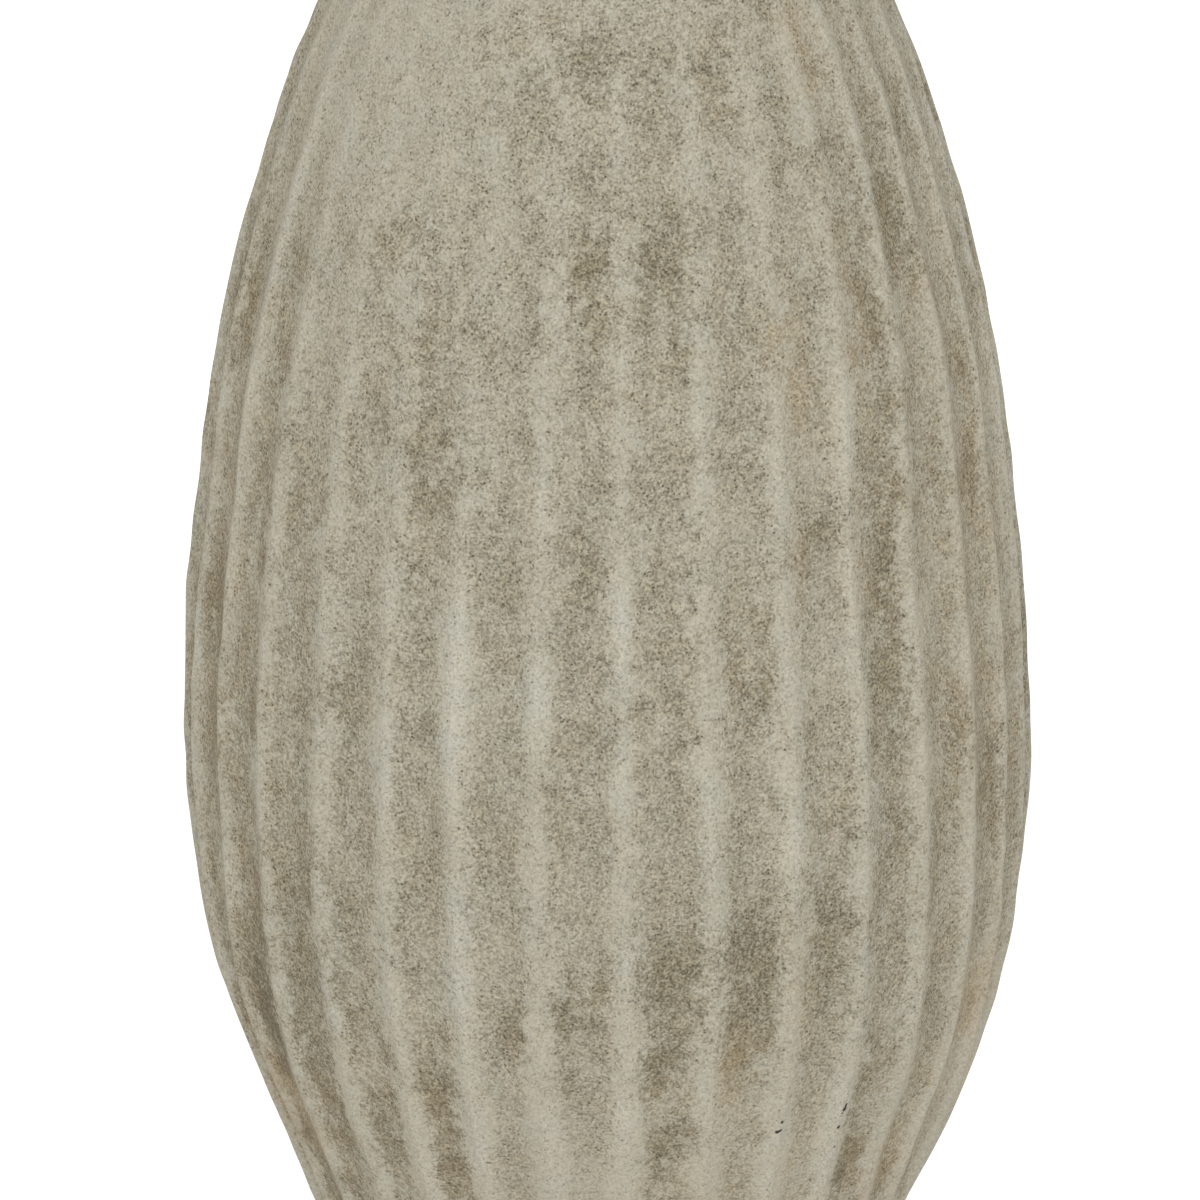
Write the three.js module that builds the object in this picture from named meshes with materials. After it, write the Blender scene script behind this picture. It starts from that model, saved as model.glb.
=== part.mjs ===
// Fluted stoneware vase of olpe form: an egg-shaped body that runs in one S-curve into a flared neck.
// A pot of this size is thrown in sections. Each section has a V-shaped rim that sits in a groove of the
// next one. The joint is bonded with slip, and a coil of clay is pressed over the seam on the inside.
// Felt discs carry the foot. Millimetres, +Z up. The origin is on the surface that the vase stands on,
// under the middle of the foot.
import * as THREE from "three";

// Body. Its radius is measured over the arrises, the ridges that stand between the flutes.
const BELLY_RADIUS = 120;
const BELLY_HEIGHT = 188;
const UPPER_SEMI_AXIS = 296; // of the half ellipse above the belly
const LOWER_SEMI_AXIS = 200; // of the half ellipse below it
const WALL = 9;

// Flutes: shallow scooped channels that die out on the shoulder and just above the foot
const FLUTES = 32;
const FLUTE_DEPTH = 2.4;
const FLUTE_PHASE_DEG = 2.2; // of the first arris, to the right of the front
const FLUTE_FULL_BELOW = 268;
const FLUTE_GONE_ABOVE = 398;
const FLUTE_GONE_AT_FOOT = 24;
const FLUTE_FULL_ABOVE_FOOT = 48;

// Heights where one section ends and the next begins
const SHOULDER_JOINT = 398;
const NECK_JOINT = 444;
const LIP_JOINT = 499;
const LIP_TOP = 514;

// Joints. The gap is the film of slip between two sections.
const GAP = 0.3;
const TONGUE_WIDTH = 3.6;
const TONGUE_RISE = 3;

// Neck and lip
const NECK_WALL = 9;
const NECK_TOP_RADIUS = 58;
const NECK_ROOT_PULL = 24; // how far the neck goes on along the shoulder's slope before it turns
const NECK_FLARE_IN = 12;
const NECK_FLARE_DOWN = 14;
const LIP_RADIUS = 66;
const LIP_ROLL_SET_IN = 2;

// Felt, foot and floor
const FELT_RADIUS = 7;
const FELT_THICKNESS = 2.5;
const FELT_DISCS = 4;
const FOOT_HEIGHT = 10;
const FOOT_WIDTH = 17;
const FOOT_EASE = 2;
const FLOOR_THICKNESS = 10;

// Coils over the seams
const COIL_HALF_HEIGHT = 8;
const COIL_THICKNESS = 4;
const FLOOR_COIL_LEG = 10;

// Facets
const SEGMENTS_PER_FLUTE = 4;
const FLUTED_SEGMENTS = FLUTES * SEGMENTS_PER_FLUTE;
const PLAIN_SEGMENTS = 48;
const FELT_SEGMENTS = 24;
const BODY_STEPS = 6;
const BODY_INNER_STEPS = 3;
const SHOULDER_STEPS = 3;
const NECK_STEPS = 7;
const LIP_STEPS = 8;
const COIL_STEPS = 4;

// Levels that follow from the sizes above
const FOOT_BOTTOM = FELT_THICKNESS + GAP;
const FOOT_TOP = FOOT_BOTTOM + FOOT_HEIGHT;
const FLOOR_BOTTOM = FOOT_TOP + GAP;
const FLOOR_TOP = FLOOR_BOTTOM + FLOOR_THICKNESS;
const WALL_BOTTOM = FLOOR_TOP + GAP;
const FLOOR_COIL_TOP = WALL_BOTTOM + FLOOR_COIL_LEG;

const { degToRad, lerp, smoothstep } = THREE.MathUtils;
const at = (radius, height) => new THREE.Vector2(radius, height);
const steps = (count) => Array.from({ length: count + 1 }, (_, i) => i / count);

// The egg that bounds the body, shrunk by an inset: 0 is its outer skin and WALL its inner one.
function egg(inset) {
  const radius = BELLY_RADIUS - inset;
  const semiAxis = (height) => (height > BELLY_HEIGHT ? UPPER_SEMI_AXIS : LOWER_SEMI_AXIS) - inset;
  const angleAt = (height) => Math.asin((height - BELLY_HEIGHT) / semiAxis(height));
  return {
    radiusAt: (height) => radius * Math.cos(angleAt(height)),
    pointAt: (height) => at(radius * Math.cos(angleAt(height)), height),
    // Points from one height to another, evenly spaced round the ellipse
    arc(from, to, count) {
      const semi = semiAxis(Math.max(from, to));
      return steps(count).map((share) => {
        const angle = lerp(angleAt(from), angleAt(to), share);
        return at(radius * Math.cos(angle), BELLY_HEIGHT + semi * Math.sin(angle));
      });
    },
  };
}
const outside = egg(0);
const inside = egg(WALL);

function fluteDepth(height) {
  const onShoulder = 1 - smoothstep(height, FLUTE_FULL_BELOW, FLUTE_GONE_ABOVE);
  const atFoot = smoothstep(height, FLUTE_GONE_AT_FOOT, FLUTE_FULL_ABOVE_FOOT);
  return (FLUTE_DEPTH * onShoulder * atFoot * outside.radiusAt(height)) / BELLY_RADIUS;
}

// A joint's tongue on the lower section, from its outer side to its inner one, and the groove above it,
// which is wider and higher by the gap and is followed the other way round.
const vee = (radius, height, halfWidth) => [
  at(radius + halfWidth, height),
  at(radius, height + TONGUE_RISE),
  at(radius - halfWidth, height),
];
const tongue = (radius, height) => vee(radius, height, TONGUE_WIDTH / 2);
const groove = (radius, height) => vee(radius, height + GAP, TONGUE_WIDTH / 2 + GAP).reverse();

// Middle of the wall at a joint, measured from the bottom of the flutes
const midWall = (height) => (inside.radiusAt(height) + outside.radiusAt(height) - fluteDepth(height)) / 2;

const WEATHERED_CLAY = { color: 0xa8a28f, roughness: 0.95, metalness: 0 };
const BARE_CLAY = { color: 0xb3a48c, roughness: 0.95, metalness: 0 };
const FELT = { color: 0x4c4842, roughness: 1, metalness: 0 };

const vase = new THREE.Group();

function addPiece(name, geometry, finish) {
  const mesh = new THREE.Mesh(geometry, new THREE.MeshStandardMaterial(finish));
  mesh.name = name;
  vase.add(mesh);
  return mesh;
}

// Turns a closed outline about the vase's axis. It runs up its outer side and down its inner side.
function turned(outline, segments = PLAIN_SEGMENTS, phase = 0) {
  const geometry = new THREE.LatheGeometry([...outline, outline[0].clone()], segments, phase);
  return geometry.rotateX(Math.PI / 2);
}

// As turned(), with flutes scooped out of the outer face.
function turnedAndFluted(bottomFace, outerFace, rest) {
  const outline = [...bottomFace, ...outerFace, ...rest];
  const geometry = turned(outline, FLUTED_SEGMENTS, degToRad(FLUTE_PHASE_DEG));
  const position = geometry.getAttribute("position");
  const pointsPerTurn = outline.length + 1;
  for (let i = 0; i < position.count; i++) {
    const point = (i % pointsPerTurn) - bottomFace.length;
    if (point < 0 || point >= outerFace.length) continue;
    const across = (Math.floor(i / pointsPerTurn) % SEGMENTS_PER_FLUTE) / SEGMENTS_PER_FLUTE;
    const scoop = 1 - (2 * across - 1) ** 2;
    const { x: radius, y: height } = outerFace[point];
    const scale = 1 - (fluteDepth(height) * scoop) / radius;
    position.setX(i, position.getX(i) * scale);
    position.setY(i, position.getY(i) * scale);
  }
  return geometry;
}

// Felt discs, spaced evenly round the foot
const footOuter = outside.radiusAt(FLOOR_BOTTOM);
const footInner = footOuter - FOOT_WIDTH;
for (let i = 0; i < FELT_DISCS; i++) {
  const disc = new THREE.CylinderGeometry(FELT_RADIUS, FELT_RADIUS, FELT_THICKNESS, FELT_SEGMENTS);
  const felt = addPiece(`felt_disc_${i + 1}`, disc.rotateX(Math.PI / 2), FELT);
  const angle = ((i + 0.5) * 2 * Math.PI) / FELT_DISCS;
  const radius = (footOuter + footInner) / 2;
  felt.position.set(radius * Math.cos(angle), radius * Math.sin(angle), FELT_THICKNESS / 2);
}

// Foot ring: a coil trimmed to a low ring with eased edges
addPiece(
  "foot_ring",
  turned([
    at(footInner + FOOT_EASE, FOOT_BOTTOM),
    at(footOuter - FOOT_EASE, FOOT_BOTTOM),
    at(footOuter, FOOT_BOTTOM + FOOT_EASE),
    at(footOuter + FOOT_EASE / 2, (FOOT_BOTTOM + FOOT_TOP) / 2),
    at(footOuter, FOOT_TOP),
    at(footInner, FOOT_TOP),
    at(footInner, FOOT_BOTTOM + FOOT_EASE),
  ]),
  WEATHERED_CLAY,
);

// Floor: the disc that closes the pot. Its edge is the lowest band of the body's curve.
addPiece(
  "floor_disc",
  turned([
    at(0, FLOOR_BOTTOM),
    ...outside.arc(FLOOR_BOTTOM, FLOOR_TOP, 2),
    ...tongue(midWall(WALL_BOTTOM), FLOOR_TOP),
    at(0, FLOOR_TOP),
  ]),
  WEATHERED_CLAY,
);

// Lower wall: a fluted bowl without a bottom, from the floor to the belly
addPiece(
  "lower_wall",
  turnedAndFluted(
    [inside.pointAt(WALL_BOTTOM), ...groove(midWall(WALL_BOTTOM), FLOOR_TOP)],
    outside.arc(WALL_BOTTOM, BELLY_HEIGHT, BODY_STEPS),
    [
      ...tongue(midWall(BELLY_HEIGHT), BELLY_HEIGHT),
      inside.pointAt(BELLY_HEIGHT),
      ...inside.arc(BELLY_HEIGHT - COIL_HALF_HEIGHT, FLOOR_COIL_TOP, BODY_INNER_STEPS),
    ],
  ),
  WEATHERED_CLAY,
);

// Upper wall: from the belly to the shoulder, where the flutes die out
addPiece(
  "upper_wall",
  turnedAndFluted(
    [inside.pointAt(BELLY_HEIGHT + GAP), ...groove(midWall(BELLY_HEIGHT), BELLY_HEIGHT)],
    outside.arc(BELLY_HEIGHT + GAP, SHOULDER_JOINT, BODY_STEPS),
    [
      ...tongue(midWall(SHOULDER_JOINT), SHOULDER_JOINT),
      inside.pointAt(SHOULDER_JOINT),
      ...inside.arc(SHOULDER_JOINT - COIL_HALF_HEIGHT, BELLY_HEIGHT + COIL_HALF_HEIGHT, BODY_INNER_STEPS),
    ],
  ),
  WEATHERED_CLAY,
);

// Shoulder: a plain ring that carries the body's curve in to the root of the neck
addPiece(
  "shoulder_ring",
  turned([
    inside.pointAt(SHOULDER_JOINT + GAP),
    ...groove(midWall(SHOULDER_JOINT), SHOULDER_JOINT),
    ...outside.arc(SHOULDER_JOINT + GAP, NECK_JOINT, SHOULDER_STEPS),
    ...tongue(midWall(NECK_JOINT), NECK_JOINT),
    inside.pointAt(NECK_JOINT),
    inside.pointAt(NECK_JOINT - COIL_HALF_HEIGHT),
    inside.pointAt(SHOULDER_JOINT + COIL_HALF_HEIGHT),
  ]),
  WEATHERED_CLAY,
);

// Neck: leaves the shoulder along the body's slope, draws in, then flares to the lip
const neckRoot = outside.pointAt(NECK_JOINT + GAP);
const slopeAtRoot = neckRoot.clone().sub(outside.pointAt(NECK_JOINT)).normalize();
const neckProfile = new THREE.CubicBezierCurve(
  neckRoot,
  neckRoot.clone().addScaledVector(slopeAtRoot, NECK_ROOT_PULL),
  at(NECK_TOP_RADIUS - NECK_FLARE_IN, LIP_JOINT - NECK_FLARE_DOWN),
  at(NECK_TOP_RADIUS, LIP_JOINT),
);
const neckRootWall = neckRoot.x - inside.radiusAt(neckRoot.y);
const neckOuterFace = neckProfile.getPoints(NECK_STEPS);
const neckInnerFace = neckOuterFace.map(({ x: radius, y: height }, i) => {
  const thickness = lerp(neckRootWall, NECK_WALL, i / NECK_STEPS);
  return at(radius - thickness, height);
});
const midNeckTop = NECK_TOP_RADIUS - NECK_WALL / 2;
addPiece(
  "neck",
  turned([
    ...groove(midWall(NECK_JOINT), NECK_JOINT),
    ...neckOuterFace,
    ...tongue(midNeckTop, LIP_JOINT),
    ...neckInnerFace.toReversed(),
  ]),
  WEATHERED_CLAY,
);

// Lip: a coil rolled outwards over the top of the neck
const lipBottom = LIP_JOINT + GAP;
const lipRoll = new THREE.EllipseCurve(
  NECK_TOP_RADIUS - LIP_ROLL_SET_IN,
  (lipBottom + LIP_TOP) / 2,
  LIP_RADIUS - NECK_TOP_RADIUS + LIP_ROLL_SET_IN,
  (LIP_TOP - lipBottom) / 2,
  degToRad(-60),
  degToRad(135),
);
addPiece(
  "lip_roll",
  turned([
    at(NECK_TOP_RADIUS - NECK_WALL, lipBottom),
    ...groove(midNeckTop, LIP_JOINT),
    at(NECK_TOP_RADIUS, lipBottom),
    ...lipRoll.getPoints(LIP_STEPS),
  ]),
  WEATHERED_CLAY,
);

// A coil of clay smeared over a seam: thickest on the seam, feathered out above and below it. It takes
// the points of the inner wall below, at and above the seam.
function addSeamCoil(name, wallPoints) {
  const againstWall = wallPoints.map(({ x, y }) => at(x - GAP, y));
  const [bottom, , top] = againstWall;
  const crown = steps(COIL_STEPS)
    .slice(1, -1)
    .map((share) => top.clone().lerp(bottom, share).sub(at(COIL_THICKNESS * 4 * share * (1 - share), 0)));
  addPiece(name, turned([...againstWall, ...crown]), BARE_CLAY);
}
const roundSeam = (seam) => [seam - COIL_HALF_HEIGHT, seam, seam + COIL_HALF_HEIGHT].map(inside.pointAt);
addSeamCoil("belly_seam_coil", roundSeam(BELLY_HEIGHT));
addSeamCoil("shoulder_seam_coil", roundSeam(SHOULDER_JOINT));
addSeamCoil("neck_seam_coil", [
  inside.pointAt(NECK_JOINT - COIL_HALF_HEIGHT),
  inside.pointAt(NECK_JOINT),
  neckInnerFace[1],
]);

// The floor's coil is a fillet in the corner between the floor and the wall.
const corner = inside.pointAt(WALL_BOTTOM).sub(at(GAP, 0));
const alongFloor = corner.clone().sub(at(FLOOR_COIL_LEG, 0));
const upWall = inside.pointAt(FLOOR_COIL_TOP).sub(at(GAP, 0));
const hollow = corner.clone().lerp(alongFloor.clone().lerp(upWall, 0.5), 0.8);
addPiece("floor_seam_coil", turned([alongFloor, corner, upWall, hollow]), BARE_CLAY);

export default vase;
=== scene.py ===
# %% [markdown]
# # A fluted stoneware vase
# The vase is one tall egg of fired clay. Its wall is scooped into thirty-two upright flutes, and its skin
# is pale, rubbed on the ridges and speckled in the channels. A solid model already says where each section
# of the pot is, so the lesson starts by loading that model, and each piece made here takes the place of one
# of its nodes.

# %% Load the solid model
import math
from collections import namedtuple

import bmesh
import bpy
import numpy as np
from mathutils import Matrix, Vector


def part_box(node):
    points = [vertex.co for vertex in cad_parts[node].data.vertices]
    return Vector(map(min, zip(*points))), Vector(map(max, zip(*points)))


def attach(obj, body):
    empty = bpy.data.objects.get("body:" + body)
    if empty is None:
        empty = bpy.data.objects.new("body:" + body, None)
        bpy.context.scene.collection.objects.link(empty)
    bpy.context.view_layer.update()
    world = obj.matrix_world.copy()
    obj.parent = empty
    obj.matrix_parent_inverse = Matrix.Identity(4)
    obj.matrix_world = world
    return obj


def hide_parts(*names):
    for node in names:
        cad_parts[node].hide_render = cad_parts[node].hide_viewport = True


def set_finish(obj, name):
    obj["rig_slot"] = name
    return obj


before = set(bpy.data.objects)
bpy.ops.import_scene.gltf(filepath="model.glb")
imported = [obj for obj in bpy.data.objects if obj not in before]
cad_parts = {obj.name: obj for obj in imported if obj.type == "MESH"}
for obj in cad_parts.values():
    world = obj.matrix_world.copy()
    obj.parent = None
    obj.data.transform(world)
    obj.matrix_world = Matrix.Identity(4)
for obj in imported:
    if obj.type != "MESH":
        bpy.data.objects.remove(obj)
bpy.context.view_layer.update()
print("nodes:", sorted(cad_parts))

# %% [markdown]
# ## Camera
# The picture looks down on the belly from about twenty degrees, and the vase hardly narrows with distance.
# A camera that stands close would widen the shoulder and shrink the foot. So this one stands far back with
# a long lens: the lens follows from how much of the vase the picture spans, which is a length that can be
# measured.

# %% Camera
CAMERA_TILT = math.radians(20.5)
CAMERA_DISTANCE = 4.2
PICTURE_SPAN = 0.3395  # metres across the picture, at the vase's axis
AIM = Vector((-0.0018, 0, 0.2276))

camera = bpy.data.objects.new("camera", bpy.data.cameras.new("camera"))
camera.data.lens = camera.data.sensor_width * CAMERA_DISTANCE / PICTURE_SPAN
camera.location = AIM + CAMERA_DISTANCE * Vector((0, -math.cos(CAMERA_TILT), math.sin(CAMERA_TILT)))
camera.rotation_euler = (math.pi / 2 - CAMERA_TILT, 0, 0)
bpy.context.scene.collection.objects.link(camera)
bpy.context.scene.camera = camera
print(f"lens {camera.data.lens:.0f} mm")

# %% [markdown]
# ## Seams
# A pot this tall is thrown in sections that are set on each other while the clay is leather-hard. The solid
# model leaves a hair of a gap at each seam. Clay that has been wiped over has none, so two neighbours meet
# here in the middle of that gap. Heights come from the loaded nodes, in millimetres, because a potter's
# sizes read best that way.

# %% Seams
MM = 0.001
SEAM_GAP = 0.3


def seam_under(node):
    """The height of the seam that a node stands on."""
    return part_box(node)[0].z / MM - SEAM_GAP / 2


FELT_SEAM = seam_under("foot_ring")
FOOT_SEAM = seam_under("floor_disc")
FLOOR_SEAM = seam_under("lower_wall")
BELLY_SEAM = seam_under("upper_wall")
SHOULDER_SEAM = seam_under("shoulder_ring")
NECK_SEAM = seam_under("neck")
LIP_SEAM = seam_under("lip_roll")
LIP_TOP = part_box("lip_roll")[1].z / MM
seams = (FELT_SEAM, FOOT_SEAM, FLOOR_SEAM, BELLY_SEAM, SHOULDER_SEAM, NECK_SEAM, LIP_SEAM)
print("seams:", [round(height, 2) for height in seams])

# %% [markdown]
# ## The curve of the wall
# The body is two half ellipses that share the belly, a long one above and a short one below. The neck goes
# on along the slope of the shoulder, draws in and flares. No part of the wall turns back under itself, so
# the radius is a plain function of the height. Every section uses the same two functions, and that is why
# neighbours meet exactly.

# %% The curve of the wall
BELLY_RADIUS = 120.0
BELLY_HEIGHT = 188.0
UPPER_SEMI_AXIS = 296.0
LOWER_SEMI_AXIS = 200.0
WALL = 9.0
NECK_TOP_RADIUS = 58.0
NECK_PULL = 24.0
NECK_STEPS = 200
NECK_TURN = (46.0, 485.0)  # the point that the neck is drawn towards before it flares


def egg_radius(height, inset):
    """The radius of the two half ellipses, moved in by an inset."""
    semi_axis = np.where(height > BELLY_HEIGHT, UPPER_SEMI_AXIS, LOWER_SEMI_AXIS) - inset
    return (BELLY_RADIUS - inset) * np.sqrt(1 - ((height - BELLY_HEIGHT) / semi_axis) ** 2)


neck_root = np.array([egg_radius(NECK_SEAM, 0), NECK_SEAM])
shoulder_slope = neck_root - np.array([egg_radius(NECK_SEAM - 1, 0), NECK_SEAM - 1])
shoulder_slope /= np.linalg.norm(shoulder_slope)
neck_pulls = [neck_root, neck_root + NECK_PULL * shoulder_slope, NECK_TURN, (NECK_TOP_RADIUS, LIP_SEAM)]
along_neck = np.linspace(0, 1, NECK_STEPS)[:, None]
neck_line = sum(
    math.comb(3, k) * along_neck**k * (1 - along_neck) ** (3 - k) * np.array(pull)
    for k, pull in enumerate(neck_pulls)
)
neck_root_wall = neck_root[0] - egg_radius(NECK_SEAM, WALL)


def outer_radius(height):
    on_neck = np.interp(height, neck_line[:, 1], neck_line[:, 0])
    return np.where(height > NECK_SEAM, on_neck, egg_radius(np.minimum(height, NECK_SEAM), 0))


def inner_radius(height):
    neck_wall = np.interp(height, (NECK_SEAM, LIP_SEAM), (neck_root_wall, WALL))
    on_neck = outer_radius(height) - neck_wall
    return np.where(height > NECK_SEAM, on_neck, egg_radius(np.minimum(height, NECK_SEAM), WALL))


print(f"neck waist radius {neck_line[:, 0].min():.1f} mm")

# %% [markdown]
# ## Flutes
# A loop tool is drawn up the wall thirty-two times. Each pull leaves a shallow scoop, and two scoops meet
# in an arris, a ridge that the sponge rounds a little. A displacement texture could carve them, but an
# arris that falls between two vertices comes out as a zigzag. So the columns of the mesh follow the flutes
# themselves: each arris is a column, the columns crowd together near it, and the hand's wander moves the
# columns.

# %% Flutes
FLUTES = 32
FLUTE_DEPTH = 2.9
FIRST_ARRIS = math.radians(2.2)  # to the right of the front
ARRIS_EASE = 0.08  # how far the sponge rounds an arris, in half flutes
COLUMNS_A_FLUTE = 16
COLUMN_CROWDING = 0.6
PULL_DEPTH_SPREAD = 0.12  # of the depth, from pull to pull
PULL_END_SPREAD = 16.0  # of the height where a pull ends
hand = np.random.default_rng(32)

step_in_flute = np.arange(COLUMNS_A_FLUTE) / COLUMNS_A_FLUTE
step_in_flute = step_in_flute - COLUMN_CROWDING * np.sin(2 * np.pi * step_in_flute) / (2 * np.pi)
COLUMN = (np.arange(FLUTES)[:, None] + step_in_flute).ravel()  # counted in flutes from the first arris
FLUTE_OF_COLUMN = np.floor(COLUMN).astype(int)
FROM_ARRIS = 2 * np.abs(COLUMN - np.round(COLUMN))  # 0 on an arris, 1 in the middle of a channel
eased = (np.hypot(FROM_ARRIS, ARRIS_EASE) - ARRIS_EASE) / (math.hypot(1, ARRIS_EASE) - ARRIS_EASE)
SCOOP = 1 - (1 - eased) ** 2
FLUTE_ANGLE = FIRST_ARRIS + 2 * np.pi / FLUTES * COLUMN
PULL_DEPTH = hand.uniform(1 - PULL_DEPTH_SPREAD, 1 + PULL_DEPTH_SPREAD, FLUTES)[FLUTE_OF_COLUMN]
PULL_END = hand.uniform(-PULL_END_SPREAD, PULL_END_SPREAD, FLUTES)[FLUTE_OF_COLUMN]
narrowest = np.diff(COLUMN).min() * 2 * np.pi * BELLY_RADIUS / FLUTES
print(f"{len(COLUMN)} columns, the narrowest {narrowest:.2f} mm")

# %% [markdown]
# ## Where the flutes run
# The pulls of a hand don't all end at one height. At the sides they run up to the neck, at the front left
# they end early, and on the right they drift as they climb the shoulder. An array of equal grooves would
# look machined. So each column has a depth and a turn of its own at every height, and both are plain
# functions.

# %% Where the flutes run
FULL_BELOW, GONE_ABOVE = 230.0, 490.0
GONE_AT_FOOT, FULL_ABOVE_FOOT = 24.0, 48.0
EARLY_END = 60.0  # how much lower the flutes at the front left end
EARLY_END_ANGLE, EARLY_END_REACH = math.radians(-37), 0.13
LEFT_RUN, RIGHT_RUN = 45.0, 75.0  # how much further the flutes at the two sides run up
TO_SIDE = (0.35, 0.9)  # the sines between which a flute comes to be one of a side
NECK_WIPE = (415.0, 462.0)  # between these heights the neck's last wipe takes them away
DRIFT_RISE = (265.0, 400.0)  # between these heights the flutes of a side drift
RIGHT_DRIFT, RIGHT_DRIFT_SINES = math.radians(5.0), (-0.3, 0.8)
LEFT_DRIFT, LEFT_DRIFT_SINES = math.radians(1.2), (0.6, 0.95)
# Bundles that are set to one side: the angle of each, its reach and its set in degrees, and where it ends
SET_OVER = ((32, 32, 0.9, 265), (-15, 16, -0.7, 375), (-60, 20, -1.2, 150))
SET_FADE = 35.0
WANDER = 0.012  # of a flute
WANDER_WAVES = 6
WANDER_TURNS = (2, 14)  # waves round the vase
WANDER_PITCH = (260, 700)  # from one wave to the next up the wall
wander_turns = hand.integers(*WANDER_TURNS, WANDER_WAVES)
wander_pitch = hand.uniform(*WANDER_PITCH, WANDER_WAVES) * hand.choice((-1, 1), WANDER_WAVES)
wander_phase = hand.uniform(0, 2 * np.pi, WANDER_WAVES)


def ease(value, low, high):
    """0 below low, 1 above high, and a smooth step between."""
    share = np.clip((value - low) / (high - low), 0, 1)
    return share * share * (3 - 2 * share)


def flute_share(height):
    """How much of its full depth each column's flute has at a height."""
    early = EARLY_END * ease(np.cos(FLUTE_ANGLE - EARLY_END_ANGLE), 1 - EARLY_END_REACH, 1)
    side = np.sin(FLUTE_ANGLE)
    run = PULL_END - early + RIGHT_RUN * ease(side, *TO_SIDE) + LEFT_RUN * ease(-side, *TO_SIDE)
    on_shoulder = 1 - ease(height, FULL_BELOW + run, GONE_ABOVE + run)
    return on_shoulder * (1 - ease(height, *NECK_WIPE)) * ease(height, GONE_AT_FOOT, FULL_ABOVE_FOOT)


def turn_at(height):
    """The angle of each column at a height, from the front towards the right."""
    waves = np.sin(
        2 * np.pi * (wander_turns * COLUMN[:, None] / FLUTES + height / wander_pitch) + wander_phase
    )
    side = np.sin(FLUTE_ANGLE)
    drift = RIGHT_DRIFT * ease(side, *RIGHT_DRIFT_SINES) - LEFT_DRIFT * ease(-side, *LEFT_DRIFT_SINES)
    turn = FLUTE_ANGLE + drift * ease(height, *DRIFT_RISE)
    turn = turn + 2 * np.pi / FLUTES * WANDER * waves.sum(axis=1)
    for angle, reach, amount, end in SET_OVER:
        near = ease(np.cos(FLUTE_ANGLE - math.radians(angle)), math.cos(math.radians(reach)), 1)
        turn = turn + math.radians(amount) * near * (1 - ease(height, end - SET_FADE, end + SET_FADE))
    return turn


print(f"least flute share at the belly {flute_share(BELLY_HEIGHT).min():.2f}")
print(f"greatest flute share at the shoulder's seam {flute_share(SHOULDER_SEAM).max():.2f}")

# %% [markdown]
# ## The hand's unevenness
# No hand-built pot is a true solid of revolution. Broad lumps come from the paddle, small ones from the
# sponge, and the lower body leans two millimetres to the right. Noise in a modifier would work, but a sum
# of waves in random directions is smooth, repeats exactly from one run to the next, and gives two sections
# the same lumps at their seam.

# %% The hand's unevenness
Waves = namedtuple("Waves", "vectors phases depth")
FINGER_PITCH = 14.0
FINGER_DEPTH = 0.5
LEAN = 2.3
LEAN_FULL_AT = 75.0
LEAN_FALL = (60.0, 240.0)
DRAWN_IN = ((82, 32, 2.4), (275, 55, 0.5), (378, 58, 1.7))  # middle height, reach and depth


def lump_waves(count, shortest, longest, depth):
    directions = hand.normal(size=(count, 3))
    directions /= np.linalg.norm(directions, axis=1, keepdims=True)
    lengths = hand.uniform(shortest, longest, count)
    phases = hand.uniform(0, 2 * np.pi, count)
    return Waves(directions * (2 * np.pi / lengths)[:, None], phases, depth * math.sqrt(2 / count))


LUMPS = (lump_waves(14, 45, 110, 0.4), lump_waves(20, 11, 24, 0.1))  # the paddle's, then the sponge's


def lumps(points):
    total = np.zeros(len(points))
    for waves in LUMPS:
        total += waves.depth * np.sin(points @ waves.vectors.T + waves.phases).sum(axis=1)
    return total


def finger_rings(turn, height):
    """The spiral of finger marks that throwing leaves on the inside."""
    return FINGER_DEPTH * np.sin(turn + 2 * np.pi * height / FINGER_PITCH)


def lean(height):
    """How far the body leans to the right: it rises over the foot and is gone above the belly."""
    return LEAN * ease(height, FOOT_SEAM, LEAN_FULL_AT) * (1 - ease(height, *LEAN_FALL))


def drawn_in(height):
    """How far the wall lies inside the two half ellipses."""
    return sum(depth * np.exp(-(((height - middle) / reach) ** 2)) for middle, reach, depth in DRAWN_IN)


print(f"lean to the right at 100 mm: {lean(100.0):.2f} mm")

# %% [markdown]
# ## Rows of points
# Each section is a stack of rings of points. A wall row takes a height and a share through the wall: one is
# the outer skin, nought the inner one, and what lies between is the face of a joint. Each row also carries
# marks for the finish, such as how fluted it is and whether it is inside, so the finish can follow the
# shape without any image.

# %% Rows of points
Row = namedtuple("Row", "points fluted inside joint")
TONGUE_RISE = 3.0
TONGUE_SHARES = ((0.7, 0.0), (0.5, TONGUE_RISE), (0.3, 0.0))  # share through the wall, rise above the seam


def ring_points(turn, radius, height):
    radius = np.broadcast_to(radius, turn.shape)
    height = np.broadcast_to(height, turn.shape)
    return np.stack([radius * np.sin(turn), -radius * np.cos(turn), height], axis=1)


def wall_row(level, share=1.0, lift=0.0, joint=False):
    """One ring of the wall. A lift raises it above its level, for the tongue of a joint."""
    turn = turn_at(level)
    fluted = flute_share(level)
    plain = outer_radius(level)
    scoop = FLUTE_DEPTH * PULL_DEPTH * fluted * SCOOP * plain / BELLY_RADIUS
    skin = plain - scoop - drawn_in(level) + lumps(ring_points(turn, plain, level))
    lining = inner_radius(level) + finger_rings(turn, level)
    points = ring_points(turn, lining + share * (skin - lining), level + lift)
    points[:, 0] += lean(level)
    return Row(points, fluted, 1 - share, joint)


def tongue_rows(level):
    """The joint's V-shaped tongue, from the outer side to the inner one."""
    return [wall_row(level, share, lift, True) for share, lift in TONGUE_SHARES]


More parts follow.
